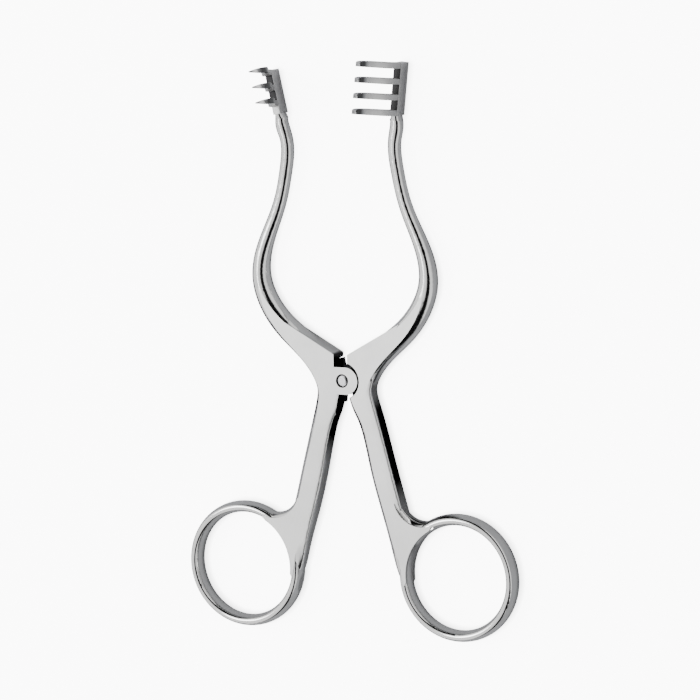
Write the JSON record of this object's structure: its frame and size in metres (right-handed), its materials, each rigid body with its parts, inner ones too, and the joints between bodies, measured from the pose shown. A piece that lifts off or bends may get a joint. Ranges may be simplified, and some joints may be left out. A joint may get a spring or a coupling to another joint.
{
  "type": "self retaining retractor",
  "caption": "Surgical wound retractor: two forged steel arms with finger rings on a ratchet pivot, each ending in a rake of sharp hooked prongs.",
  "frame": {"origin": "middle of the whole instrument's box, on the plane its back lies on", "axes": "+Y along the instrument towards the blades, +Z from the back up through the prongs, +X towards the moving arm"},
  "size_m": [0.0892, 0.1404, 0.0189],
  "materials": {
    "satin_steel": "forged stainless steel, satin faces and polished sides",
    "blade_steel": "stainless steel, fine satin",
    "polished_steel": "polished stainless steel",
    "lever_steel": "ground stainless steel",
    "spring_steel": "rolled spring steel"
  },
  "bodies": {
    "fixed_arm": {"left_arm": "satin_steel", "left_blade": "blade_steel", "pivot_screw": "polished_steel", "pivot_nut": "polished_steel", "lever_pin": "polished_steel", "leaf_spring": "spring_steel", "spring_screw": "polished_steel"},
    "moving_arm": {"right_arm": "satin_steel", "right_blade": "blade_steel"},
    "release_lever": {"release_lever": "lever_steel"}
  },
  "joints": [
    {"name": "arm_pivot", "type": "hinge", "parent": "fixed_arm", "child": "moving_arm", "pos_m": [0, -0.00776, 0.0026], "axis": [0, 0, -1], "range_deg": [-15, 25]},
    {"name": "release_lever_pivot", "type": "hinge", "parent": "fixed_arm", "child": "release_lever", "pos_m": [-0.00578, -0.01759, 0.0013], "axis": [-0.965, 0.2622, 0], "range_deg": [-2.5, 2], "stiffness_Nm_per_rad": 0.12, "springref_deg": -2.5, "deforming": ["leaf_spring"]}
  ]
}
